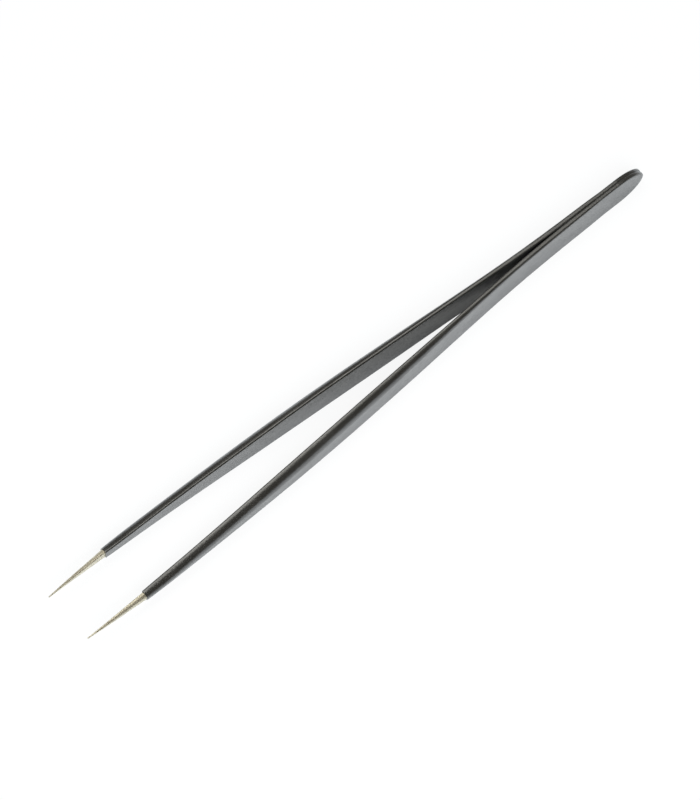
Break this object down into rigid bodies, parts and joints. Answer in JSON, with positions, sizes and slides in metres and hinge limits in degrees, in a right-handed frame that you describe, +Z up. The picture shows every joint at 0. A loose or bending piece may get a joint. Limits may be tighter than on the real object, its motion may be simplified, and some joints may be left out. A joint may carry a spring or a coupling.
{
  "type": "tweezers",
  "caption": "Straight tweezers with bare needle-fine steel tips and a black anti-static coating over bowed, flat-sided arms.",
  "frame": {"origin": "middle of the bounding box on the surface that the tweezers lie on", "axes": "+X along the length from the tips to the joined butt, +Y across the opening from the left blade to the right blade, +Z up across the width of the arms"},
  "size_m": [0.14, 0.0134, 0.0072],
  "materials": {
    "stainless_steel": "satin",
    "black_coating": "satin"
  },
  "bodies": {
    "root": {"left_blade": "stainless_steel", "right_blade": "stainless_steel", "antistatic_coating": "black_coating"}
  },
  "joints": []
}
